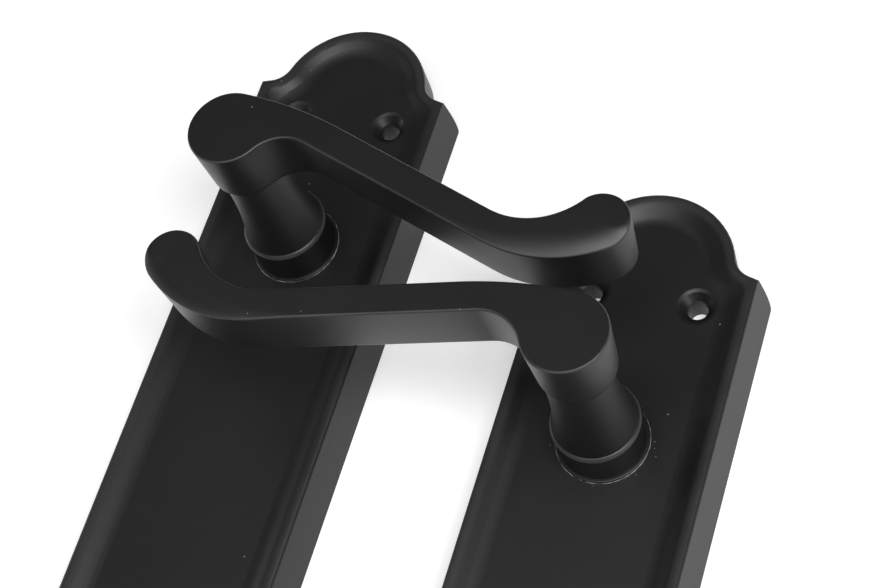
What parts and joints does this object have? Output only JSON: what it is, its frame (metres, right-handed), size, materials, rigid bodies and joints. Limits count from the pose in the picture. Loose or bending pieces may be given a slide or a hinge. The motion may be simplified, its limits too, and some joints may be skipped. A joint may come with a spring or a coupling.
{
  "type": "lever latch handle set",
  "caption": "Pair of sprung scroll lever door handles on long shaped backplates with domed ends, for a tubular or mortice latch.",
  "frame": {"origin": "centre of the bounding box of both handles, on the plane of the plates' backs", "axes": "+Z out of the plates' fronts, +Y along the plates towards the ends that carry the levers, +X to the right seen from the front"},
  "size_m": [0.125, 0.212, 0.0515],
  "materials": {
    "black_coat": "satin",
    "black_nylon": "matte",
    "plated_steel": "zinc plated",
    "spring_steel": "oiled"
  },
  "bodies": {
    "plates": {"left_backplate": "black_coat", "left_bush": "black_nylon", "left_thrust_washer": "black_nylon", "left_return_spring": "spring_steel", "left_spring_cover": "plated_steel", "left_cover_screws": "plated_steel", "right_backplate": "black_coat", "right_bush": "black_nylon", "right_thrust_washer": "black_nylon", "right_return_spring": "spring_steel", "right_spring_cover": "plated_steel", "right_cover_screws": "plated_steel"},
    "left_handle": {"left_lever": "black_coat", "left_drive_cam": "plated_steel", "left_disc_washer": "spring_steel", "left_circlip": "spring_steel"},
    "right_handle": {"right_lever": "black_coat", "right_drive_cam": "plated_steel", "right_disc_washer": "spring_steel", "right_circlip": "spring_steel"}
  },
  "joints": [
    {"name": "left_lever_turn", "type": "hinge", "parent": "plates", "child": "left_handle", "pos_m": [-0.0385, 0.0508, 0], "axis": [0, 0, 1], "range_deg": [0, 45], "stiffness_Nm_per_rad": 0.8, "deforming": ["left_return_spring"]},
    {"name": "right_lever_turn", "type": "hinge", "parent": "plates", "child": "right_handle", "pos_m": [0.0385, 0.0188, 0], "axis": [0, 0, 1], "range_deg": [0, 45], "stiffness_Nm_per_rad": 0.8, "deforming": ["right_return_spring"]}
  ]
}
